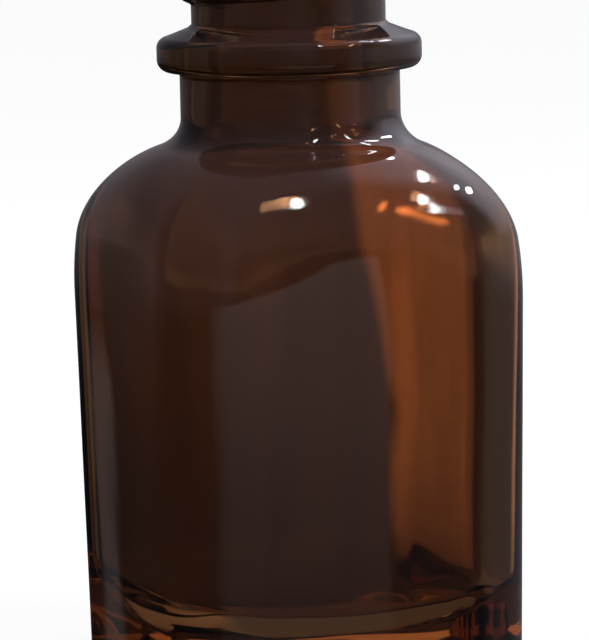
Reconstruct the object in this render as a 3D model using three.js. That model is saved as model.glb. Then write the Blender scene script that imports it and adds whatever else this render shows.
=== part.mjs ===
// Square amber apothecary bottle with a round screw finish, a ribbed cap and a two-layer liner.
// Millimetres, +Z up, the base stands on z = 0 and the neck runs up the Z axis.
import * as THREE from "three";

// Body of the bottle: a square with round corners that tapers a little towards its base.
const SHOULDER_WIDTH = 49.6;
const BASE_WIDTH = 47.8;
const CORNER_RADIUS = 8.6;
const INNER_CORNER_RADIUS = 8.6;
const BODY_HEIGHT = 57.6;
const WALL = 2.6;

// Base: a round heel, a flat ring to stand on, a domed push-up in the ring and a domed floor above it.
const HEEL_RADIUS = 2.4;
const STANDING_RING = 3.6;
const PUSH_UP = 5.0;
const BASE_THICKNESS = 5.5;
const INNER_HEEL_RADIUS = 6.5;
const INNER_DOME = 2.5;
const FLOOR_ROUNDING = 0.5;

// Shoulder: an S-curve from the square body to the round neck. The sections begin to turn round a
// little below it. Inside, the curve is softer and ends a little higher, where the glass thins.
const SHOULDER_RISE = 15.5;
const NECK_FILLET = 4.0;
const INNER_NECK_FILLET = 7.5;
const INNER_NECK_LIFT = 1.5;
const ROUNDING_DEPTH = 7.6;
const ROUNDING_STEPS = 4;

// Neck, transfer bead and finish of a 28 mm screw bottle.
const NECK_RADIUS = 14.3;
const NECK_LENGTH = 6.1;
const BEAD_OVERHANG = 2.9;
const BEAD_HEIGHT = 5.6;
const BEAD_SLOPE = THREE.MathUtils.degToRad(17);
const BEAD_UPPER_EDGE = 1.5;
const BEAD_LOWER_EDGE = 1.6;
const FINISH_RADIUS = 12.6;
const FINISH_HEIGHT = 12.75;
const FINISH_WALL = 2.8;
const BORE_FLARE = 1.5;
const LIP_EDGE = 0.8;

// Cap and liner. The thread on the finish fills the space between the finish and the cap's bore.
const THREAD_DEPTH = 1.2;
const CAP_CLEARANCE = 0.45;
const CAP_WALL = 1.1;
const RIB_DEPTH = 0.35;
const RIB_COUNT = 36;
const CAP_TOP = 1.8;
const CAP_EDGE = 1.1;
const SKIRT_LIFT = 4.9;
const SKIRT_BAND = 1.2;
const SKIRT_CHAMFER = 0.4;
const FACING_THICKNESS = 0.5;
const WAD_THICKNESS = 1.1;
const LINER_GAP = 0.35;

// Heights that follow from the sizes above.
const roundingZ = BODY_HEIGHT - ROUNDING_DEPTH;
const neckRootZ = BODY_HEIGHT + SHOULDER_RISE;
const beadZ = neckRootZ + NECK_LENGTH;
const beadTopZ = beadZ + BEAD_HEIGHT;
const mouthZ = beadTopZ + FINISH_HEIGHT;
const facingTopZ = mouthZ + FACING_THICKNESS;
const wadTopZ = facingTopZ + WAD_THICKNESS;
const capTopZ = wadTopZ + CAP_TOP;
const skirtZ = beadTopZ + SKIRT_LIFT;

// Half-widths and radii that follow.
const shoulderHalf = SHOULDER_WIDTH / 2;
const baseHalf = BASE_WIDTH / 2;
const beadRadius = NECK_RADIUS + BEAD_OVERHANG;
const boreRadius = FINISH_RADIUS - FINISH_WALL;
const neckBore = boreRadius + BORE_FLARE;
const capBore = FINISH_RADIUS + THREAD_DEPTH + CAP_CLEARANCE;
const capRadius = capBore + CAP_WALL + RIB_DEPTH;
const linerRadius = capBore - LINER_GAP;

// An outline is a list of points (half-width, height). Angles are in radians.
function line(...points) {
  return points.map(([half, z]) => new THREE.Vector2(half, z));
}

function arc(half, z, radius, from, to, steps) {
  const curve = new THREE.EllipseCurve(half, z, radius, radius, from, to, to < from);
  return curve.getPoints(steps);
}

// A shallow arc from its top on the axis down to its rim.
function dome(rim, rise, topZ, steps) {
  const radius = (rim * rim + rise * rise) / (2 * rise);
  const turn = Math.asin(rim / radius);
  return arc(0, topZ - radius, radius, Math.PI / 2, Math.PI / 2 - turn, steps);
}

// Two arcs that meet without a corner: convex at the body, hollow at the neck.
function shoulderCurve(half, neck, z, rise, fillet, lean, steps) {
  const step = half - neck;
  const reach = (step * step + rise * rise) / (2 * step);
  const turn = Math.atan2(rise, reach - step);
  const lower = arc(half - reach + fillet, z, reach - fillet, -lean, turn, steps);
  const upper = arc(neck + fillet, z + rise, fillet, turn + Math.PI, Math.PI, steps - 3);
  return [...lower, ...upper.slice(1)];
}

// Points on a straight wall, at the heights where its sections begin to turn round.
function roundingWall(low, high) {
  const points = [];
  for (let i = 0; i < ROUNDING_STEPS; i += 1) {
    const z = roundingZ + (ROUNDING_DEPTH * i) / ROUNDING_STEPS;
    points.push(low.clone().lerp(high, (z - low.y) / (high.y - low.y)));
  }
  return points;
}

// Each outline point becomes a row: its half-width, its height, its corners as a share of the
// half-width, and its blend from 0 for the round-cornered square to 1 for a circle.
function rows(points, corners, blend) {
  return points.map((p) => ({ half: p.x, z: p.y, corners, blend: blend(p) }));
}

// Distance from the axis to a square with round corners, in the direction of an angle.
function squareReach(half, corners, angle) {
  const corner = half * corners;
  const centre = half - corner;
  const x = Math.abs(Math.cos(angle));
  const y = Math.abs(Math.sin(angle));
  const long = Math.max(x, y);
  const short = Math.min(x, y);
  if (half * short <= centre * long) {
    return half / long;
  }
  const across = centre * (long - short);
  return centre * (long + short) + Math.sqrt(corner * corner - across * across);
}

function sectionReach(row, angle) {
  const square = squareReach(row.half, row.corners, angle);
  return THREE.MathUtils.lerp(square, row.half, row.blend);
}

// Closed skin through rows of points. The first and the last row are single points on the axis.
function loft(skin, angles, reach) {
  const first = skin[0];
  const last = skin[skin.length - 1];
  const rings = skin.slice(1, -1);
  const count = angles.length;
  const positions = [0, 0, first.z];
  for (const ring of rings) {
    for (const angle of angles) {
      const r = reach(ring, angle);
      positions.push(r * Math.cos(angle), r * Math.sin(angle), ring.z);
    }
  }
  positions.push(0, 0, last.z);
  const end = 1 + rings.length * count;
  const index = [];
  for (let j = 0; j < count; j += 1) {
    const next = (j + 1) % count;
    index.push(0, 1 + next, 1 + j);
    for (let i = 0; i + 1 < rings.length; i += 1) {
      const low = 1 + i * count;
      const high = low + count;
      index.push(low + j, low + next, high + next);
      index.push(low + j, high + next, high + j);
    }
    const top = end - count;
    index.push(top + j, top + next, end);
  }
  const geometry = new THREE.BufferGeometry();
  geometry.setAttribute("position", new THREE.Float32BufferAttribute(positions, 3));
  geometry.setIndex(index);
  geometry.computeVertexNormals();
  return geometry;
}

// Blend of a wall, slow at first, from the body's square to the circle of the neck.
function wallBlend(point) {
  const way = (point.y - roundingZ) / (neckRootZ - roundingZ);
  return Math.pow(THREE.MathUtils.clamp(way, 0, 1), 2);
}

// Blend of a dome, from the circle on the axis to the blend of its rim.
function domeBlend(rim, rimBlend) {
  return (point) => THREE.MathUtils.lerp(1, rimBlend, point.x / rim);
}

// Blend of the inner heel, from the square of the wall to the rounder rim of the floor.
function heelBlend(topZ) {
  return (point) => FLOOR_ROUNDING * Math.pow((topZ - point.y) / INNER_HEEL_RADIUS, 2);
}

// The glass: one skin that runs up the outside, over the lip and down the inside.
function glassBottle() {
  const quarter = Math.PI / 2;
  const lean = Math.atan2(shoulderHalf - baseHalf, BODY_HEIGHT);
  const corners = CORNER_RADIUS / shoulderHalf;
  const innerHalf = shoulderHalf - WALL;
  const innerBase = baseHalf - WALL;
  const innerCorners = INNER_CORNER_RADIUS / innerHalf;

  const ringOuter = baseHalf - HEEL_RADIUS;
  const ringInner = ringOuter - STANDING_RING;
  const pushUp = dome(ringInner, PUSH_UP, PUSH_UP, 5);
  const heel = arc(ringOuter, HEEL_RADIUS, HEEL_RADIUS, -quarter, -lean, 4);
  const shoulder = shoulderCurve(
    shoulderHalf, NECK_RADIUS, BODY_HEIGHT, SHOULDER_RISE, NECK_FILLET, lean, 9);
  const wall = roundingWall(heel[heel.length - 1], shoulder[0]);

  const edgeHalf = beadRadius - BEAD_UPPER_EDGE;
  const edgeDrop = (edgeHalf - FINISH_RADIUS) * Math.tan(BEAD_SLOPE);
  const edgeZ = beadTopZ - edgeDrop - BEAD_UPPER_EDGE / Math.cos(BEAD_SLOPE);
  const neck = [
    ...line([NECK_RADIUS, beadZ]),
    ...arc(beadRadius - BEAD_LOWER_EDGE, beadZ + BEAD_LOWER_EDGE, BEAD_LOWER_EDGE, -quarter, 0, 4),
    ...arc(edgeHalf, edgeZ, BEAD_UPPER_EDGE, 0, quarter - BEAD_SLOPE, 4),
    ...line([FINISH_RADIUS, beadTopZ]),
    ...arc(FINISH_RADIUS - LIP_EDGE, mouthZ - LIP_EDGE, LIP_EDGE, 0, quarter, 3),
    ...arc(boreRadius + LIP_EDGE, mouthZ - LIP_EDGE, LIP_EDGE, quarter, Math.PI, 3),
  ];

  const innerRise = SHOULDER_RISE + INNER_NECK_LIFT;
  const innerShoulder = shoulderCurve(
    innerHalf, neckBore, BODY_HEIGHT, innerRise, INNER_NECK_FILLET, lean, 7);
  const floorTopZ = PUSH_UP + BASE_THICKNESS;
  const floorRim = innerBase - INNER_HEEL_RADIUS;
  const innerHeelZ = floorTopZ - INNER_DOME + INNER_HEEL_RADIUS;
  const innerHeel = arc(floorRim, innerHeelZ, INNER_HEEL_RADIUS, -lean, -quarter, 5);
  const innerWall = roundingWall(innerHeel[0], innerShoulder[0]);
  const inside = [...innerWall, ...innerShoulder].reverse();
  const floor = dome(floorRim, INNER_DOME, floorTopZ, 4).reverse().slice(1);

  const skin = [
    ...rows(pushUp, corners, domeBlend(ringInner, 0)),
    ...rows([...heel, ...wall, ...shoulder, ...neck], corners, wallBlend),
    ...rows(inside, innerCorners, wallBlend),
    ...rows(innerHeel, innerCorners, heelBlend(innerHeelZ)),
    ...rows(floor, innerCorners, domeBlend(floorRim, FLOOR_ROUNDING)),
  ];
  // The columns of points gather towards the corners, where the section curves most.
  const gather = 0.12;
  const angles = [];
  const segments = 64;
  for (let j = 0; j < segments; j += 1) {
    const turn = (2 * Math.PI * j) / segments;
    angles.push(turn + gather * Math.sin(4 * turn));
  }
  return loft(skin, angles, sectionReach);
}

// The cap: a skirt with grip ribs over its middle, a plain band below and a round top edge.
function capShell() {
  const quarter = Math.PI / 2;
  const rootRadius = capRadius - RIB_DEPTH;
  const ribTop = capTopZ - CAP_EDGE;
  const plain = (points) => points.map((p) => ({ half: p.x, z: p.y, rib: 0 }));
  const ribbed = (points) => points.map((p) => ({ half: p.x, z: p.y, rib: RIB_DEPTH }));
  const inside = line([0, wadTopZ], [capBore, wadTopZ], [capBore, skirtZ]);
  const hem = line(
    [capRadius - SKIRT_CHAMFER, skirtZ],
    [capRadius, skirtZ + SKIRT_CHAMFER],
    [capRadius, skirtZ + SKIRT_BAND]);
  const grip = line([rootRadius, skirtZ + SKIRT_BAND + RIB_DEPTH], [rootRadius, ribTop]);
  const crown = [
    ...arc(rootRadius - CAP_EDGE, capTopZ - CAP_EDGE, CAP_EDGE, 0, quarter, 4).slice(1),
    ...line([0, capTopZ]),
  ];
  const skin = [...plain(inside), ...plain(hem), ...ribbed(grip), ...plain(crown)];
  const angles = [];
  const segments = RIB_COUNT * 4;
  for (let j = 0; j < segments; j += 1) {
    angles.push((2 * Math.PI * j) / segments);
  }
  const wave = (angle) => 0.5 + 0.5 * Math.cos(RIB_COUNT * angle);
  return loft(skin, angles, (row, angle) => row.half + row.rib * wave(angle));
}

function disc(radius, lowZ, highZ) {
  const geometry = new THREE.CylinderGeometry(radius, radius, highZ - lowZ, 72);
  geometry.rotateX(Math.PI / 2);
  geometry.translate(0, 0, (lowZ + highZ) / 2);
  return geometry;
}

function piece(name, geometry, color, roughness) {
  const material = new THREE.MeshStandardMaterial({ color, roughness, metalness: 0 });
  const mesh = new THREE.Mesh(geometry, material);
  mesh.name = name;
  return mesh;
}

const bottle = new THREE.Group();
bottle.name = "apothecary_bottle";
bottle.add(piece("glass_bottle", glassBottle(), 0x4a2a1a, 0.06));
bottle.add(piece("liner_facing", disc(linerRadius, mouthZ, facingTopZ), 0xe9e3d2, 0.6));
bottle.add(piece("liner_wad", disc(linerRadius, facingTopZ, wadTopZ), 0xb59a73, 0.9));
bottle.add(piece("cap_shell", capShell(), 0x17151a, 0.35));

export default bottle;
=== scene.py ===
# %% [markdown]
# # A square amber apothecary bottle
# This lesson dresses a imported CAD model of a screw-top medicine bottle. The CAD model stays as a
# fixed frame, and each cell adds one piece or one finish to it: the glass, the cap, the two liner
# discs, and the small studio that they stand in.

import math

import bpy
import numpy as np
from mathutils import Matrix, Vector


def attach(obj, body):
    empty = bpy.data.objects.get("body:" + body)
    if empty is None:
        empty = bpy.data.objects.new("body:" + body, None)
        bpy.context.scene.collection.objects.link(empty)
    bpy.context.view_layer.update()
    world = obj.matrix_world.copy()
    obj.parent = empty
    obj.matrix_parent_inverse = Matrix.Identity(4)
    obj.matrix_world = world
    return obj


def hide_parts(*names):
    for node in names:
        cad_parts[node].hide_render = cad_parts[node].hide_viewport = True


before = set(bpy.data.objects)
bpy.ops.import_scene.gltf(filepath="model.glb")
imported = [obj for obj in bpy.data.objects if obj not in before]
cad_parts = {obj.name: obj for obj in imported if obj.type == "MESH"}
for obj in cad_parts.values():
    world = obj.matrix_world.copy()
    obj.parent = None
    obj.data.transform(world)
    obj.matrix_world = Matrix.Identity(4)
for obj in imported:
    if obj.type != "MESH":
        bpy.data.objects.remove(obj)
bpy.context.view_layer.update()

# %% [markdown]
# The glass has few sizes, and every curve follows from them. They are the real ones in millimetres,
# and one factor turns them into Blender's metres. Heights are stacked from the base up, as a glass
# maker's drawing does it, so a change to the body carries the neck along with it.

# %% Sizes of the glass
MM = 0.001
SHOULDER_HALF, BASE_HALF, BODY_Z, WALL, CORNER, INNER_CORNER = 24.8, 23.9, 57.6, 2.6, 8.6, 8.6
HEEL, STANDING_RING, PUSH_UP, FLOOR_TOP, INNER_HEEL, INNER_DOME = 2.4, 3.6, 5.0, 10.5, 6.5, 2.5
FLOOR_ROUNDING = 0.5
SHOULDER_RISE, NECK_FILLET, ROUNDING_DEPTH = 15.5, 4.0, 7.6
INNER_RISE, INNER_FILLET = 17.0, 7.5
NECK_R, BEAD_R, FINISH_R, BORE_R, NECK_BORE = 14.3, 17.2, 12.6, 9.8, 11.3
BEAD_ROOT, BEAD_UNDER, BEAD_EDGE, BEAD_SLOPE = 0.5, 1.6, 1.5, math.radians(17)
FINISH_ROOT, FOOT_RISE, LIP = 0.5, 0.06, 0.8
NECK_Z = BODY_Z + SHOULDER_RISE
BEAD_Z = NECK_Z + 6.1
BEAD_TOP = BEAD_Z + 5.6
MOUTH_Z = BEAD_TOP + 12.75
PITCH = 25.4 / 6
print("mouth at", round(MOUTH_Z, 2), "mm")

# %% [markdown]
# The side view of the bottle is a chain of lines and arcs. A line that will get ripples needs points
# along it, so the line helper takes a spacing, coarse for a plain wall and fine under a thread. The
# shoulder is two arcs that meet without a corner: with a given height and width of the step, their two
# radii have one fixed sum.

# %% Lines, arcs and the S-curve of the shoulder
QUARTER = math.pi / 2
COARSE, FINE = 1.2, 0.12
LEAN = math.atan2(SHOULDER_HALF - BASE_HALF, BODY_Z)


def run(a, b, spacing):
    steps = max(1, round(math.dist(a, b) / spacing))
    share = np.linspace(0, 1, steps + 1)[:, None]
    return np.array(a) * (1 - share) + np.array(b) * share


def around(points):
    return 2 * np.pi * np.arange(points) / points


def arc(half, z, radius, start, end, steps):
    turn = np.linspace(start, end, steps + 1)
    return np.column_stack((half + radius * np.cos(turn), z + radius * np.sin(turn)))


def dome_arc(rim, rise, top, steps):
    radius = (rim ** 2 + rise ** 2) / (2 * rise)
    turn = math.asin(rim / radius)
    return arc(0, top - radius, radius, QUARTER, QUARTER - turn, steps)


def shoulder_curve(half, neck, rise, fillet):
    step = half - neck
    reach = (step ** 2 + rise ** 2) / (2 * step)
    turn = math.atan2(rise, reach - step)
    low = arc(half - reach + fillet, BODY_Z, reach - fillet, -LEAN, turn, 36)
    high = arc(neck + fillet, BODY_Z + rise, fillet, turn + math.pi, math.pi, 22)
    return np.vstack((low, high[1:]))


outer_shoulder = shoulder_curve(SHOULDER_HALF, NECK_R, SHOULDER_RISE, NECK_FILLET)
inner_shoulder = shoulder_curve(SHOULDER_HALF - WALL, NECK_BORE, INNER_RISE, INNER_FILLET)
print("shoulder points:", len(outer_shoulder), "outside,", len(inner_shoulder), "inside")

# %% [markdown]
# The section of the bottle changes on the way up: a square with round corners in the body, a circle
# in the neck, and a blend of the two in the shoulder. A row of the mesh needs only its half-width,
# its height, its corners and its blend. A direction's distance from the axis then comes from a short
# formula, and every row has the same count of points.

# %% Sections between a square and a circle
def wall_blend(z):
    start = BODY_Z - ROUNDING_DEPTH
    return np.clip((z - start) / (NECK_Z - start), 0, 1) ** 2


def section_reach(half, corners, blend, angle):
    corner = half * corners
    centre = half - corner
    x, y = np.abs(np.cos(angle)), np.abs(np.sin(angle))
    long, short = np.maximum(x, y), np.minimum(x, y)
    across = centre * (long - short)
    curved = centre * (long + short) + np.sqrt(np.maximum(corner ** 2 - across ** 2, 0))
    square = np.where(half * short <= centre * long, half / long, curved)
    return square * (1 - blend) + half * blend


diagonal = section_reach(SHOULDER_HALF, CORNER / SHOULDER_HALF, 0, math.pi / 4)
print("corner of the body lies", round(float(diagonal), 2), "mm from the axis")

# %% [markdown]
# A closed skin is the plainest way to make hollow glass: it starts at the middle of the base, runs
# up the outside, over the lip and down the inside to the middle of the floor. Blender then knows
# what lies in the glass and what lies in the air, and that is what refraction and tint need.

# %% Outline of the glass, from the push-up to the floor
INNER_HALF, INNER_BASE = SHOULDER_HALF - WALL, BASE_HALF - WALL
ring_out = BASE_HALF - HEEL
ring_in = ring_out - STANDING_RING
floor_rim = INNER_BASE - INNER_HEEL
inner_heel_z = FLOOR_TOP - INNER_DOME + INNER_HEEL
edge_half = BEAD_R - BEAD_EDGE
edge_rise = BEAD_EDGE / math.cos(BEAD_SLOPE)
edge_z = BEAD_TOP - (edge_half - FINISH_R) * math.tan(BEAD_SLOPE) - edge_rise

dome = dome_arc(ring_in, PUSH_UP, PUSH_UP, 24)
heel = arc(ring_out, HEEL, HEEL, -QUARTER, -LEAN, 14)
wall = run(heel[-1], outer_shoulder[0], COARSE)[1:-1]
neck = run((NECK_R, NECK_Z), (NECK_R, BEAD_Z - BEAD_ROOT), 0.8)[1:]
bead = np.vstack((
    arc(NECK_R + BEAD_ROOT, BEAD_Z - BEAD_ROOT, BEAD_ROOT, math.pi, QUARTER, 6)[1:],
    arc(BEAD_R - BEAD_UNDER, BEAD_Z + BEAD_UNDER, BEAD_UNDER, -QUARTER, 0, 14),
    arc(edge_half, edge_z, BEAD_EDGE, 0, QUARTER - BEAD_SLOPE, 14),
    run((edge_half, edge_z + edge_rise), (FINISH_R + FINISH_ROOT, BEAD_TOP + FOOT_RISE), 0.5)[1:],
))
finish = run((FINISH_R, BEAD_TOP + FINISH_ROOT), (FINISH_R, MOUTH_Z - LIP), FINE)
lip = np.vstack((
    arc(FINISH_R - LIP, MOUTH_Z - LIP, LIP, 0, QUARTER, 8)[1:],
    arc(BORE_R + LIP, MOUTH_Z - LIP, LIP, QUARTER, math.pi, 8),
))
bore = run((BORE_R, MOUTH_Z - LIP), inner_shoulder[-1], 1.0)[1:-1]
inner_heel = arc(floor_rim, inner_heel_z, INNER_HEEL, -LEAN, -QUARTER, 20)
inner_wall = run(inner_shoulder[0], inner_heel[0], COARSE)[1:-1]
floor_run = dome_arc(floor_rim, INNER_DOME, FLOOR_TOP, 20)[::-1][1:]
print("rows of the finish:", len(finish))

# %% [markdown]
# Each stretch of the outline gets its blend and a mark for its side. The mark lets the next
# cells work on one side of the glass alone: the thread on the outside of the finish, and the slow
# ripples that blown glass has on its free, inner side.

# %% Stack the rows
OUTSIDE, INSIDE = 0.0, 1.0
outside = np.vstack((heel, wall, outer_shoulder, neck, bead, finish, lip))
inside = np.vstack((bore, inner_shoulder[::-1], inner_wall))
heel_blend = FLOOR_ROUNDING * ((inner_heel_z - inner_heel[:, 1]) / INNER_HEEL) ** 2
floor_blend = 1 + (FLOOR_ROUNDING - 1) * floor_run[:, 0] / floor_rim
parts = [
    (dome, 1 - dome[:, 0] / ring_in, OUTSIDE), (outside, wall_blend(outside[:, 1]), OUTSIDE),
    (inside, wall_blend(inside[:, 1]), INSIDE), (inner_heel, heel_blend, INSIDE),
    (floor_run, floor_blend, INSIDE),
]
rows = np.vstack([np.column_stack((p, blend, np.full(len(p), side))) for p, blend, side in parts])
print("rows of the glass:", len(rows))

# %% [markdown]
# The screw thread is a ridge that climbs one pitch with each turn. It is made by pushing points of
# the finish outwards where they lie close to that climbing line, and it fades in and out over a
# short turn at its ends, as the mould cuts it.

# %% Thread of the finish
THREAD_START, THREAD_TURNS, THREAD_HIGH, THREAD_HALF = math.radians(110), 1.5, 1.2, 1.2
THREAD_BASE, THREAD_FADE = BEAD_TOP + 4.4 - PITCH / 2, 0.5


def ridge(distance, half_width):
    across = np.clip(1 - np.abs(distance) / half_width, 0, 1)
    return np.sin(np.minimum(across * 1.5, 1) * QUARTER) ** 1.5


def thread_height(angle, z):
    high = np.zeros(np.broadcast(angle, z).shape)
    for lap in range(-1, 4):
        turn = angle + 2 * math.pi * lap
        climb = THREAD_BASE + PITCH * turn / (2 * math.pi)
        along = turn - THREAD_START
        left = THREAD_TURNS * 2 * math.pi - along
        fade = np.clip(along / THREAD_FADE, 0, 1) * np.clip(left / THREAD_FADE, 0, 1)
        high = np.maximum(high, THREAD_HIGH * ridge(z - climb, THREAD_HALF) * np.sin(fade * QUARTER))
    return high


print("thread from", round(THREAD_BASE + PITCH * THREAD_START / (2 * math.pi), 2), "mm")

# %% [markdown]
# Blown glass is never even. The mould holds the outside true to a few hundredths of a millimetre,
# while the inside, which touches nothing, waves by a few tenths. A sum of slow sine waves in three
# directions gives that without any random numbers. The waves die out towards the mouth, the axis and
# the standing ring, which have to stay true. Round the bottle the points crowd towards the corners,
# where the glass bends.

# %% Ripples of blown glass
def ripple(x, y, z, size):
    a = np.sin(x / size * 1.3 + 0.7) * np.sin(z / size * 0.8 + 0.2) * np.cos(y / size * 1.1)
    b = np.sin((x + y) / size * 0.7 + 1.9) * np.sin(z / size * 1.7 + x / size * 0.4)
    c = np.cos((y - z * 0.6) / size * 1.9 + 0.5) * np.sin(x / size * 0.9 + 2.1)
    return (a + 0.7 * b + 0.5 * c) / 2.2


POINTS, CROWDING, SLACK = 216, 0.12, 0.1
INNER_WAVE, OUTER_WAVE, WAVE_SIZE = 0.28, 0.035, 6.5
CALM_Z, CALM_RUN, CALM_HALF, RING_Z, RING_RUN = 92, 12, 6, 1, 4
turn = around(POINTS)
angle = turn + CROWDING * np.sin(4 * turn)
half, z, blend, side = (rows[1:-1, i][:, None] for i in range(4))
corners = np.where(side == OUTSIDE, CORNER / SHOULDER_HALF, INNER_CORNER / INNER_HALF)
radius = section_reach(half, corners, blend, angle[None, :])
z = np.broadcast_to(z, radius.shape).copy()
above_bead, below_lip = z > BEAD_TOP + FINISH_ROOT - SLACK, z < MOUTH_Z - LIP + SLACK
on_finish = above_bead & below_lip & (side == OUTSIDE)
radius = radius + np.where(on_finish, thread_height(angle[None, :], z), 0)
x, y = radius * np.cos(angle), radius * np.sin(angle)
free = np.where(side == INSIDE, INNER_WAVE, OUTER_WAVE * np.clip((z - RING_Z) / RING_RUN, 0, 1))
free = free * np.clip((CALM_Z - z) / CALM_RUN, 0, 1) * np.clip(half / CALM_HALF, 0, 1)
radius = radius - free * (0.5 + 0.5 * ripple(x, y, z, WAVE_SIZE))
print("ripples up to", round(float(free.max()), 3), "mm")

# %% [markdown]
# The points become a mesh in one call. Rows are joined by quads, and the two ends are closed with a
# fan of triangles round one point each. Smooth shading hides the facets.

# %% Mesh from rings
def round_rings(radius, angle, z):
    return np.stack((radius * np.cos(angle), radius * np.sin(angle), z), axis=2)


def ring_mesh(name, rings, start, end):
    count, points = rings.shape[:2]
    verts = np.vstack((start, rings.reshape(-1, 3), end)) * MM
    j = np.arange(points)
    after = (j + 1) % points
    faces = [(0, 1 + int(b), 1 + int(a)) for a, b in zip(j, after)]
    for i in range(count - 1):
        low, high = 1 + i * points, 1 + (i + 1) * points
        faces += [(low + int(a), low + int(b), high + int(b), high + int(a)) for a, b in zip(j, after)]
    top = 1 + (count - 1) * points
    faces += [(top + int(a), top + int(b), len(verts) - 1) for a, b in zip(j, after)]
    mesh = bpy.data.meshes.new(name)
    mesh.from_pydata(verts.tolist(), [], faces)
    mesh.shade_smooth()
    made = bpy.data.objects.new(name, mesh)
    bpy.context.scene.collection.objects.link(made)
    return made


rings = round_rings(radius, angle, z)
glass = ring_mesh("amber_glass_bottle", rings, (0, 0, rows[0, 1]), (0, 0, rows[-1, 1]))
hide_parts("glass_bottle")
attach(glass, "bottle")
print("glass:", len(glass.data.vertices), "points")

# %% [markdown]
# The cap is a second closed skin: from the middle of the ceiling, down the bore, round the hem, up
# the ribs and over the crown, which has a shallow panel. Each row says whether it carries ribs, and a
# wave round the cap then pushes those rows outwards.

# %% Cap with ribs
CAP_BORE, CAP_R, RIB, RIBS, RIB_POINTS = 14.25, 15.7, 0.35, 36, 14
HEM_IN, HEM_OUT, BAND, CROWN, PANEL_DEEP = 0.3, 0.4, 1.1, 1.1, 0.15
SKIRT_Z = BEAD_TOP + 4.9
CEILING_Z = MOUTH_Z + 1.6
CAP_TOP = CEILING_Z + 1.8
cap_angle = around(RIBS * RIB_POINTS)
root = CAP_R - RIB
rib_top = CAP_TOP - CROWN
cap_bore = run((CAP_BORE, CEILING_Z - HEM_IN), (CAP_BORE, SKIRT_Z + HEM_IN), FINE)
cap_rows = [
    (run((1, CEILING_Z), (CAP_BORE - HEM_IN, CEILING_Z), 2.0), 0),
    (arc(CAP_BORE - HEM_IN, CEILING_Z - HEM_IN, HEM_IN, QUARTER, 0, 4)[1:-1], 0),
    (cap_bore, 0),
    (arc(CAP_BORE + HEM_IN, SKIRT_Z + HEM_IN, HEM_IN, math.pi, 1.5 * math.pi, 5)[1:], 0),
    (arc(CAP_R - HEM_OUT, SKIRT_Z + HEM_OUT, HEM_OUT, -QUARTER, 0, 6), 0),
    (run((CAP_R, SKIRT_Z + HEM_OUT), (CAP_R, SKIRT_Z + BAND), 0.4)[1:], 0),
    (run((root, SKIRT_Z + BAND + 0.25), (root, rib_top - 0.35), 0.4), 1),
    (arc(root - CROWN, CAP_TOP - CROWN, CROWN, 0.12, QUARTER, 12), 0),
    (np.array([(12.6, CAP_TOP), (12.3, CAP_TOP - 0.12), (11.9, CAP_TOP - PANEL_DEEP)]), 0),
    (run((11.5, CAP_TOP - PANEL_DEEP), (1, CAP_TOP - PANEL_DEEP), 1.5), 0),
]
cap_table = np.vstack([np.column_stack((p, np.full(len(p), r))) for p, r in cap_rows])
cap_half, cap_z, ribbed = (cap_table[:, i][:, None] for i in range(3))
wave = (0.5 + 0.5 * np.cos(RIBS * cap_angle))[None, :] ** 0.7
cap_radius = cap_half + ribbed * RIB * wave
cap_z = np.broadcast_to(cap_z, cap_radius.shape)
above_hem, below_ceiling = cap_z > SKIRT_Z + HEM_IN - SLACK, cap_z < CEILING_Z - HEM_IN + SLACK
in_bore = (np.abs(cap_half - CAP_BORE) < 0.01) & above_hem & below_ceiling
print("cap rows:", len(cap_table))

# %% [markdown]
# The inner thread is pushed inwards in the same way as the outer one was pushed outwards. It lies half
# a pitch below the ridge of the glass, so the two sit in each other's gaps when the cap is closed, and
# it ends where the hem and the liner need room.

# %% Inner thread and mesh of the cap
CAP_RIDGE_HIGH, CAP_RIDGE_HALF, RIDGE_FADE = 0.95, 0.75, 0.6
ridge_low, ridge_top = SKIRT_Z + 1.0, CEILING_Z - 2.2
inner_high = np.zeros(cap_radius.shape)
for lap in range(-1, 4):
    turns = cap_angle[None, :] + 2 * math.pi * lap
    climb = THREAD_BASE - PITCH / 2 + PITCH * turns / (2 * math.pi)
    fade_in = np.clip((climb - ridge_low) / RIDGE_FADE, 0, 1)
    room = fade_in * np.clip((ridge_top - climb) / RIDGE_FADE, 0, 1)
    inner_high = np.maximum(inner_high, CAP_RIDGE_HIGH * ridge(cap_z - climb, CAP_RIDGE_HALF) * room)
cap_radius = cap_radius - np.where(in_bore, inner_high, 0)
cap_rings = round_rings(cap_radius, cap_angle, cap_z)
cap = ring_mesh("ribbed_cap", cap_rings, (0, 0, CEILING_Z), (0, 0, CAP_TOP - PANEL_DEEP))
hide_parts("cap_shell")
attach(cap, "cap")
print("cap:", len(cap.data.vertices), "points")

# %% [markdown]
# Under the crown lie two discs. The thick one is pulpboard, and the thin one is waxed paper that has
# taken the mark of the lip. Both are turned from a small profile, so their edges are round and the
# ring-shaped mark is real geometry. The facing is cut a little smaller than the wad, so that the inner
# thread of the cap can pass it when the cap is unscrewed and the facing still lies on the lip.

# %% Liner discs
WAD_R, WAD_HIGH, WAD_EDGE = 13.9, 1.1, 0.2
FACING_R, FACING_HIGH, FACING_EDGE = 13.2, 0.5, 0.12
LIP_DENTS = ((11.2, 0.7, 0.05), (9.4, 0.5, 0.02))
WAD_Z = MOUTH_Z + FACING_HIGH
MIDDLE = 0.8
disc_angle = around(144)


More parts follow.
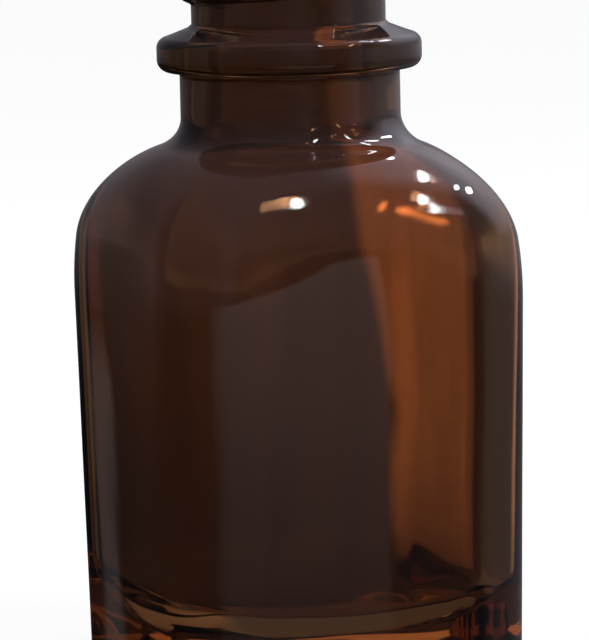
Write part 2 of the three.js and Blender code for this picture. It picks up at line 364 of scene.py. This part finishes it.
def disc(name, radius, low, high, edge, dents):
    under = run((MIDDLE, low), (radius - edge, low), 0.35)
    dent = np.array([sum(deep * math.exp(-((r - at) / wide) ** 2) for at, wide, deep in dents)
                     for r in under[:, 0]])
    under[:, 1] += dent
    rim = np.vstack((arc(radius - edge, low + edge, edge, -QUARTER, 0, 5)[1:],
                     arc(radius - edge, high - edge, edge, 0, QUARTER, 5)))
    top = run((radius - edge, high), (MIDDLE, high), COARSE)[1:]
    shape = np.vstack((under, rim, top))
    heights = np.repeat(shape[:, 1:], len(disc_angle), axis=1)
    return ring_mesh(name, round_rings(shape[:, :1], disc_angle, heights), (0, 0, low), (0, 0, high))


facing = disc("waxed_facing", FACING_R, MOUTH_Z, WAD_Z, FACING_EDGE, LIP_DENTS)
wad = disc("pulpboard_wad", WAD_R, WAD_Z, WAD_Z + WAD_HIGH, WAD_EDGE, ())
for piece, node, body, slot in ((facing, "liner_facing", "facing", "facing_paper"),
                                (wad, "liner_wad", "wad", "pulpboard")):
    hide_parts(node)
    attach(piece, body)
print("liner:", facing.name, wad.name)

# %% [markdown]
# Materials are trees of nodes. A small class holds one socket of such a tree, and Python's operators
# on it add Math nodes, so a mask can be written as a formula. Every other node comes from one method,
# which sets the node's choices first and its sockets after them.

# %% A socket that can do sums
class Wire:
    def __init__(self, tree, socket=None):
        self.tree, self.socket = tree, socket

    def node(self, kind, settings=None, sockets=None, out=0):
        made = self.tree.nodes.new("ShaderNode" + kind)
        for key, value in (settings or {}).items():
            if key == "stops":
                while len(made.color_ramp.elements) < len(value):
                    made.color_ramp.elements.new(0.5)
                for stop, (place, colour) in zip(made.color_ramp.elements, value):
                    stop.position, stop.color = place, (*colour, 1)
            else:
                setattr(made, key, value)
        for key, value in (sockets or {}).items():
            if isinstance(value, Wire):
                self.tree.links.new(value.socket, made.inputs[key])
            else:
                made.inputs[key].default_value = value
        return Wire(self.tree, made.outputs[out] if len(made.outputs) else None)

    def sum(self, operation, a, b=0.0):
        return self.node("Math", {"operation": operation}, {0: a, 1: b})

    def __add__(self, other):
        return self.sum("ADD", self, other)

    def __radd__(self, other):
        return self.sum("ADD", other, self)

    def __sub__(self, other):
        return self.sum("SUBTRACT", self, other)

    def __rsub__(self, other):
        return self.sum("SUBTRACT", other, self)

    def __mul__(self, other):
        return self.sum("MULTIPLY", self, other)

    def __rmul__(self, other):
        return self.sum("MULTIPLY", other, self)


def new_finish(name):
    material = bpy.data.materials.new(name)
    material.use_nodes = True
    material.node_tree.nodes.clear()
    return material, Wire(material.node_tree)


print("sockets can add, subtract and multiply")

# %% [markdown]
# Amber glass is clear glass that swallows blue and green light on its way through. The tint is
# therefore a volume inside the skin and no paint on it: thick places, such as the base and the neck,
# come out darker by themselves. The surface has a faint haze of handling and a fine ripple, and a thin
# film of dust, which settles mostly where the glass faces upwards.

# %% Amber glass
amber, w = new_finish("amber_glass")
place = w.node("TexCoord", out="Object")
haze = w.node("TexNoise", None, {"Vector": place, "Scale": 160.0, "Detail": 5.0, "Roughness": 0.6})
patches = w.node("TexNoise", None, {"Vector": place, "Scale": 38.0, "Detail": 3.0})
rough = 0.03 + 0.05 * haze * patches
waver = w.node("TexNoise", None, {"Vector": place, "Scale": 90.0, "Detail": 2.0})
bump = w.node("Bump", None, {"Height": waver, "Strength": 0.05, "Distance": 0.0005})
skin = w.node("BsdfPrincipled", None, {
    "Base Color": (0.459, 0.2425, 0.1234, 1), "Roughness": rough, "IOR": 1.52,
    "Transmission Weight": 1.0, "Normal": bump})
tint = w.node("VolumeAbsorption", None, {"Color": (0.733, 0.487, 0.173, 1), "Density": 60.0})
facing_up = w.node("SeparateXYZ", None, {0: w.node("NewGeometry", out="Normal")}, out="Z")
settled = w.node("MapRange", None, {0: facing_up, 1: -0.2, 2: 0.9, 3: 0.15, 4: 1.0})
dust = w.node("BsdfDiffuse", None, {"Color": (0.56, 0.48, 0.54, 1)})
film = w.node("MixShader", None, {0: 0.015 * settled * (0.5 + patches), 1: skin, 2: dust})
w.node("OutputMaterial", None, {"Surface": film, "Volume": tint})
glass.data.materials.append(amber)
print("amber glass done")

# %% [markdown]
# The cap is black phenolic, a hard and glossy moulded plastic. It is not quite black: fine filler
# makes a speckle, fingers leave soft smears, and the tops of the ribs are worn smoother and paler.

# %% Black phenolic
phenolic, w = new_finish("black_phenolic")
place = w.node("TexCoord", out="Object")
speckle = w.node("TexNoise", None, {"Vector": place, "Scale": 2600.0, "Detail": 3.0})
smear = w.node("TexNoise", None, {"Vector": place, "Scale": 110.0, "Detail": 3.0})
worn = w.node("NewGeometry", out="Pointiness")
edge = w.node("ValToRGB", {"stops": [(0.5, (0, 0, 0)), (0.62, (1, 1, 1))]}, {"Fac": worn})
colour = w.node("ValToRGB", {"stops": [(0.3, (0.007, 0.006, 0.007)), (0.75, (0.015, 0.013, 0.014))]},
                {"Fac": speckle})
colour = w.node("Mix", {"data_type": "RGBA"}, {0: edge * 0.3, 6: colour, 7: (0.05, 0.043, 0.04, 1)},
                out=2)
rough = 0.16 + 0.14 * smear - 0.04 * edge
bump = w.node("Bump", None, {"Height": smear + 0.1 * speckle, "Strength": 0.06, "Distance": 0.0005})
skin = w.node("BsdfPrincipled", None, {"Base Color": colour, "Roughness": rough, "Normal": bump})
w.node("OutputMaterial", None, {"Surface": skin})
cap.data.materials.append(phenolic)
print("phenolic done")

# %% [markdown]
# Pulpboard is pressed from short fibres, so it is a mottle of tans with a rough surface.

# %% Pulpboard
board, w = new_finish("pulpboard")
place = w.node("TexCoord", out="Object")
fibre = w.node("TexNoise", None, {"Vector": place, "Scale": 700.0, "Detail": 8.0, "Roughness": 0.7})
mottle = w.node("TexNoise", None, {"Vector": place, "Scale": 200.0, "Detail": 3.0})
colour = w.node("ValToRGB", {"stops": [(0.3, (0.30, 0.20, 0.11)), (0.7, (0.52, 0.39, 0.24))]},
                {"Fac": 0.6 * fibre + 0.4 * mottle})
bump = w.node("Bump", None, {"Height": fibre, "Strength": 0.6, "Distance": 0.0002})
skin = w.node("BsdfPrincipled", None, {"Base Color": colour, "Roughness": 0.9 - 0.1 * mottle,
                                       "Normal": bump})
w.node("OutputMaterial", None, {"Surface": skin})
wad.data.materials.append(board)
print("pulpboard done")

# %% [markdown]
# The facing is paper soaked in wax: smoother, paler and a little glossy, with a brown stain where it met
# the lip. The stain is a ring, so it comes from the distance to the axis.

# %% Waxed paper
paper, w = new_finish("waxed_paper")
place = w.node("TexCoord", out="Object")
cloud = w.node("TexNoise", None, {"Vector": place, "Scale": 260.0, "Detail": 6.0})
across = w.node("VectorMath", {"operation": "MULTIPLY"}, {0: place, 1: (1.0, 1.0, 0.0)})
far = w.node("VectorMath", {"operation": "LENGTH"}, {0: across}, out="Value")
lip_mark = w.node("ValToRGB", {"stops": [(0.0, (0, 0, 0)), (0.45, (0, 0, 0)), (0.56, (1, 1, 1)),
                                         (0.68, (0, 0, 0))]}, {"Fac": far * 50.0})
colour = w.node("ValToRGB", {"stops": [(0.3, (0.66, 0.61, 0.48)), (0.7, (0.80, 0.76, 0.65))]},
                {"Fac": cloud})
colour = w.node("Mix", {"data_type": "RGBA"}, {0: lip_mark * 0.45, 6: colour, 7: (0.45, 0.30, 0.14, 1)},
                out=2)
bump = w.node("Bump", None, {"Height": cloud, "Strength": 0.25, "Distance": 0.0001})
skin = w.node("BsdfPrincipled", None, {"Base Color": colour, "Roughness": 0.35 + 0.25 * cloud,
                                       "Normal": bump})
w.node("OutputMaterial", None, {"Surface": skin})
facing.data.materials.append(paper)
print("waxed paper done")

# %% [markdown]
# The studio has a pale floor. It is part lit surface and part plain white for what the camera and the
# glass see directly, so it reads as white and still takes a soft shadow.

# %% Floor
FLOOR_SIZE, FLOOR_GAP = 6.0, 0.0002
bpy.ops.mesh.primitive_plane_add(size=FLOOR_SIZE, location=(0, 0, -FLOOR_GAP))
floor = bpy.context.object
floor.name = "pale_floor"
floor.visible_glossy = False
pale, w = new_finish("pale_floor")
seen = w.node("LightPath", out="Is Camera Ray")
through = w.node("LightPath", out="Is Transmission Ray")
lit = w.node("BsdfDiffuse", None, {"Color": (0.86, 0.86, 0.86, 1)})
white = w.node("Emission", None, {"Color": (1, 1, 1, 1)})
mix = w.node("MixShader", None, {0: 0.86 * seen + 0.5 * through, 1: lit, 2: white})
w.node("OutputMaterial", None, {"Surface": mix})
floor.data.materials.append(pale)
print("floor done")

# %% [markdown]
# The room is white for the camera and dim for the rays that glass mirrors, because the photograph was
# taken in a dim room. A smooth bottle shows a change of light as its form, so this mirrored room grows
# from dark on the left to pale on the right. A soft window stands high on the right, and it is darker
# below, in front and towards one corner. Rays that went through the glass find it white towards the back
# and dark overhead.

# %% Room
WAYS = {"back": (0.342, 0.94, 0), "corner": (0.53, -0.62, 0.58), "front": (0.4, -0.91, -0.05)}
room = bpy.data.worlds.new("white_room")
bpy.context.scene.world = room
room.use_nodes = True
room.node_tree.nodes.clear()
w = Wire(room.node_tree)
seen = w.node("LightPath", out="Is Camera Ray")
through = w.node("LightPath", out="Is Transmission Ray")
mirror = w.node("LightPath", out="Is Glossy Ray") * (1 - through)
ways = w.node("TexCoord", out="Generated")
sideways, backward, upward = (w.node("SeparateXYZ", None, {0: ways}, out=axis) for axis in "XYZ")
pale_right = w.node("MapRange", None, {0: sideways, 1: -0.5, 2: 0.4, 3: 0.06, 4: 0.20})
dark_below = w.node("MapRange", None, {0: upward, 1: -0.15, 2: -0.05, 3: 0.05, 4: 1.0})
towards = {name: w.node("VectorMath", {"operation": "DOT_PRODUCT"}, {0: ways, 1: way}, out="Value")
           for name, way in WAYS.items()}
pale_back = w.node("MapRange", None, {0: towards["back"], 1: 0.1, 2: 0.5, 3: 0.5, 4: 1.0})
dark_above = w.node("MapRange", None, {0: upward, 1: 0.55, 2: 0.85, 3: 1.0, 4: 0.2})
dark_corner = w.node("MapRange", None, {0: towards["corner"], 1: 0.8, 2: 0.96, 3: 1.0, 4: 0.2})
dark_front = w.node("MapRange", None, {0: towards["front"], 1: 0.88, 2: 0.97, 3: 1.0, 4: 0.15})
low_right = w.node("MapRange", None, {0: sideways, 1: 0.42, 2: 0.62, 3: 0.0, 4: 0.13})
low_right = low_right * w.node("MapRange", None, {0: upward, 1: 0.0, 2: 0.3, 3: 1.0, 4: 0.0})
window = w.node("MapRange", None, {0: sideways, 1: 0.25, 2: 0.6, 3: 0.0, 4: 1.0})
window = window * w.node("MapRange", None, {0: backward, 1: -0.3, 2: 0.05, 3: 0.0, 4: 1.0})
window = window * w.node("MapRange", None, {0: upward, 1: 0.1, 2: 0.5, 3: 0.0, 4: 1.0})
lit = (1 - seen) * (1 - through) * (1 - mirror)
mirrored = pale_right * dark_below * dark_corner * dark_front + low_right + window
level = seen + through * pale_back * dark_above + mirror * mirrored + 0.8 * lit
hue = w.node("Mix", {"data_type": "RGBA"}, {0: mirror, 6: (1, 1, 1, 1), 7: (1.0, 0.94, 1.08, 1)}, out=2)
sky = w.node("Background", None, {"Color": hue, "Strength": level})
w.node("OutputWorld", None, {"Surface": sky})
print("room done")

# %% [markdown]
# Glass is drawn by what it reflects. A few long narrow lamps, above and to the right, give the round
# spots on the shoulder. The shoulder bends much more one way than the other and squeezes what it
# mirrors, so a lamp has to be a strip, turned to lie along the sharper bend, to come out as a spot.
# Their power follows from how bright they look and from their area. A large soft lamp lights the cap
# and the liner; mirrored and refracted rays pass it by.

# %% Lamps
LAMP_AIM, LAMP_TINT = Vector((0, 0, 0.065)), (0.92, 0.95, 1.0)


def glow_power(glow, long, narrow):
    return glow * math.pi * long * narrow * math.pi / 4


def lamp(name, way, far, long, narrow, turn, power, soft=False):
    data = bpy.data.lights.new(name, "AREA")
    data.shape, data.size, data.size_y, data.energy = "ELLIPSE", long, narrow, power
    data.color = LAMP_TINT
    made = bpy.data.objects.new(name, data)
    bpy.context.scene.collection.objects.link(made)
    way = Vector(way).normalized()
    across = Vector((0, 0, 1)).cross(way).normalized()
    rise = way.cross(across)
    along = across * math.cos(math.radians(turn)) + rise * math.sin(math.radians(turn))
    facing_bottle = Matrix((along, way.cross(along), way)).transposed()
    made.matrix_world = Matrix.Translation(LAMP_AIM + way * far) @ facing_bottle.to_4x4()
    made.visible_glossy = made.visible_transmission = not soft
    return made


SPOT_FAR, SPOT_GLOW = 0.8, 32.0
SOFT_FAR, SOFT_SIZE, SOFT_POWER = 0.9, 0.4, 6.0
SPOTS = [((0.17, -0.52, 0.84), 0.18, 0.024, 79), ((0.53, -0.43, 0.73), 0.18, 0.014, 42),
         ((0.53, -0.56, 0.64), 0.18, 0.008, 52), ((0.55, 0.07, 0.83), 0.22, 0.012, -7),
         ((0.63, 0.01, 0.78), 0.16, 0.030, -19), ((0.72, 0.16, 0.67), 0.20, 0.045, -27),
         ((0.43, 0.56, 0.71), 0.24, 0.050, -40)]
for i, (way, long, narrow, turn) in enumerate(SPOTS):
    lamp(f"spot_lamp_{i}", way, SPOT_FAR, long, narrow, turn, glow_power(SPOT_GLOW, long, narrow))
lamp("soft_lamp", (0.45, -0.6, 0.7), SOFT_FAR, SOFT_SIZE, SOFT_SIZE, 0, SOFT_POWER, soft=True)
print("lamps done")

# %% [markdown]
# A black cap shows its form only by what it mirrors, and the dim room of the glass would leave it
# flat. It gets soft boxes of its own: three low ones round it, which the upright ribs mirror, and one
# above for the crown. Light linking keeps them off the glass, as a photographer would shade a bottle
# from a lamp that is meant for its cap.

# %% Soft boxes for the cap
only_cap = bpy.data.collections.new("only_cap")
only_cap.objects.link(cap)
LOW_BOX, TOP_BOX = (0.22, 0.18, 0.09, 3.0), (0.36, 0.4, 0.4, 0.7)
BOXES = [((-0.77, -0.64, -0.07), *LOW_BOX), ((0.96, -0.26, -0.07), *LOW_BOX),
         ((-0.2, 0.97, -0.07), *LOW_BOX), ((0.15, 0.3, 1.0), *TOP_BOX)]
for i, (way, far, wide, tall, glow) in enumerate(BOXES):
    box = lamp(f"cap_lamp_{i}", way, far, wide, tall, 0, glow_power(glow, wide, tall))
    box.visible_camera = box.visible_transmission = False
    box.light_linking.receiver_collection = only_cap
print("soft boxes:", len(BOXES))

# %% [markdown]
# The camera looks down a little on the corner between the left face and the front face, from half a
# metre away through a long lens. Its roll is the tilt that the bottle has in the picture.

# %% Camera
YAW, PITCH_DOWN, ROLL, FAR = math.radians(20), math.radians(7.2), math.radians(-1.35), 0.55
AIM_Z, AIM_LEFT = 0.0464, 0.00013
SENSOR, PICTURE_TALL, FOCAL_PIXELS = 36.0, 640, 4215.0
ahead = Vector((math.sin(YAW) * math.cos(PITCH_DOWN), math.cos(YAW) * math.cos(PITCH_DOWN),
                -math.sin(PITCH_DOWN)))
right = Vector((math.cos(YAW), -math.sin(YAW), 0))
up = right.cross(ahead)
rolled_right = right * math.cos(ROLL) + up * math.sin(ROLL)
rolled_up = up * math.cos(ROLL) - right * math.sin(ROLL)
aim = Vector((0, 0, AIM_Z)) - right * AIM_LEFT
data = bpy.data.cameras.new("camera")
data.sensor_width, data.lens = SENSOR, FOCAL_PIXELS * SENSOR / PICTURE_TALL
data.clip_start, data.clip_end = 0.01, 20
camera = bpy.data.objects.new("camera", data)
bpy.context.scene.collection.objects.link(camera)
turned = Matrix((rolled_right, rolled_up, -ahead)).transposed()
camera.matrix_world = Matrix.Translation(aim - ahead * FAR) @ turned.to_4x4()
bpy.context.scene.camera = camera
print("camera at", [round(v, 3) for v in camera.location])

# %% [markdown]
# Photographers stand dark cards behind a bottle to give the glass its depth. A card here is a grid of
# points with a level of light each, so its brightness can change softly from place to place. Some cards
# are seen only by rays that went through the glass, and others only by mirrored ones, so they are
# missing from the picture itself. One helper takes a place as the camera sees it: to the right, to the
# back and up.

# %% A card with levels of light
back = Vector((ahead.x, ahead.y, 0)).normalized()


def at(x, y, z):
    return right * x + back * y + Vector((0, 0, z))


def sheet(name, rows, streaks=0.0, mirrored=False):
    wide = len(rows[0])
    mesh = bpy.data.meshes.new(name)
    mesh.from_pydata([place * MM for row in rows for place, level in row], [],
                     [(i + j, i + j + 1, i + j + 1 + wide, i + j + wide)
                      for i in range(0, wide * (len(rows) - 1), wide) for j in range(wide - 1)])
    glow = mesh.attributes.new("glow", "FLOAT", "POINT")
    glow.data.foreach_set("value", [level for row in rows for place, level in row])
    card = bpy.data.objects.new(name, mesh)
    bpy.context.scene.collection.objects.link(card)
    card.visible_camera = card.visible_shadow = card.visible_diffuse = False
    card.visible_glossy, card.visible_transmission = mirrored, not mirrored
    shade, w = new_finish(name)
    place = w.node("TexCoord", out="Object")
    drawn = w.node("VectorMath", {"operation": "MULTIPLY"}, {0: place, 1: (1, 1, 0.1)})
    uneven = w.node("TexNoise", None, {"Vector": drawn, "Scale": 260.0, "Detail": 3.0})
    level = w.node("Attribute", {"attribute_name": "glow"}, out="Fac") * (1 + streaks * (uneven - 0.5))
    w.node("OutputMaterial", None, {"Surface": w.node("Emission", None, {"Color": level})})
    card.data.materials.append(shade)


print("cards face", [round(v, 2) for v in back])

# %% [markdown]
# One large dark card stands close behind the bottle and has a gap that glows. Through the glass the gap
# is the amber strip of the photograph. Each step up the card has the place of the gap's left edge, the
# level of the dark side, and the most and the least light right of the edge. Two short lists say how the
# dark side and the glow change from left to right. A second card lies under the base as painted shadow:
# it stands for the shade under the bottle, which the thick glass there would otherwise show as white
# floor.

# %% Dark card behind the glass and painted shadow card below it
CARD_BACK, CARD_STREAKS, WIDE = 31, 1.2, 700
DARK = ((-WIDE, 1.0), (-36, 1.0), (-34, 1.7), (-30.5, 1.7), (-28.6, 0.6), (-24, 0.6), (-20, 1.0))
GLOW = ((17, 1.0), (21, 0.92), (26, 0.75), (31, 0.52), (34, 0.3), (37, 0.08), (WIDE, 0.08))
STEPS = ((2, 14.5, 0.08, 0.25, 0), (11, 14.1, 0.08, 0.4, 0), (15, 13.9, 0.085, 0.6, 0),
         (23, 13.6, 0.1, 0.9, 0), (29.5, 14.2, 0.12, 1, 0), (34, 13.1, 0.135, 1, 0),
         (40, 12.4, 0.14, 1, 0), (46.5, 11.3, 0.155, 1, 0), (53, 9.3, 0.17, 0.85, 0.28),
         (60, 8.8, 0.165, 0.8, 0.15), (66.5, 8.3, 0.16, 0.7, 0.05), (67.5, 8.2, 0.06, 0.7, 0),
         (69.5, 8, 0.06, 0.7, 0), (70.5, 8, 0.06, 0.2, 0), (78.5, 8, 0.06, 0.2, 0),
         (79.5, 8, 0.06, 0.06, 0), (200, 8, 0.06, 0.06, 0))
back_rows = []
for z, edge, dark, most, least in STEPS:
    levels = [(x, dark * share) for x, share in DARK] + [(edge - 1, dark), (edge + 1, min(0.75, most))]
    levels += [(x, min(max(glow, least), most)) for x, glow in GLOW]
    back_rows.append([(at(x, CARD_BACK, z), level) for x, level in levels])
sheet("back_card", back_rows, CARD_STREAKS)
# Painted shadow under the base: a dim sheet seen only through the glass, darker towards the back and
# less dark in a patch on the left.
CARD_Z = -0.1
SHADOW_STEPS = ((-WIDE, 0.12, 1), (-26, 0.12, 1), (-25, 0.13, 2.6), (2, 0.13, 2.6), (7, 0.13, 1),
               (9, 0.08, 1), (40, 0.08, 1))
shadow_rows = []
for y, level, left in SHADOW_STEPS:
    columns = ((-WIDE, 1), (-32, 1), (-28, left), (-15, left), (-10, 1), (WIDE, 1))
    shadow_rows.append([(at(x, y, CARD_Z), level * share) for x, share in columns])
sheet("painted_shadow_card", shadow_rows)
print("dark cards done")

# %% [markdown]
# The inner skin of the glass mirrors the lamps a second time. That light crosses the wall twice, so
# on the real bottle a spot and a short streak under the white ones are orange. Two small bright cards
# close behind the shoulder stand in for them.

# %% Orange glints under the shoulder's spots
GLINT_BACK, AROUND, BRIGHT = 30.5, 0.85, 7.0
STREAK = ((15.0, 58.2, AROUND), (16.3, 57.4, BRIGHT), (19.2, 56.3, 4.5), (22.2, 55.3, 5.5),
          (23.6, 54.8, AROUND))
SPOT_X, SPOT_Z, SPOT_HALF = 12.9, 58.2, 1.1
SIDES = (-1, 0, 1)
sheet("glint_streak", [[(at(x + 0.35 * s, GLINT_BACK, z + 0.95 * s), AROUND if s else level)
                        for x, z, level in STREAK] for s in SIDES])
sheet("glint_spot", [[(at(SPOT_X + SPOT_HALF * i, GLINT_BACK, SPOT_Z + SPOT_HALF * j),
                       AROUND if i or j else BRIGHT) for i in SIDES] for j in SIDES])
print("orange glints done")

# %% [markdown]
# Two pale cards are there only for what the glass mirrors. The large one stands in front, on the right
# of the camera, and gives the flat front face its soft grey, paler at the top. The small one stands
# behind on the left and draws a faint upright streak along the edge of the left face.

# %% Pale cards for the reflections
VEIL_FRONT, STREAK_LEFT, STREAK_LEVEL = -118, -38.9, 0.09
columns = ((-95, 0.0), (-30, 1.0), (40, 1.0))
sheet("front_veil", [[(Vector((x, VEIL_FRONT, z)), level * share) for x, share in columns]
                     for z, level in ((-25, 0.04), (10, 0.2), (44, 0.36))], mirrored=True)
columns = ((49, 0.0), (51.5, STREAK_LEVEL), (58, STREAK_LEVEL), (60.5, 0.0))
sheet("left_streak", [[(Vector((STREAK_LEFT, y, z)), level * share) for y, level in columns]
                      for z, share in ((-10, 1.0), (32, 1.0), (42, 0.0))], mirrored=True)
print("pale cards done")

# %% Settings and finish
bpy.context.scene.view_settings.view_transform = "Standard"
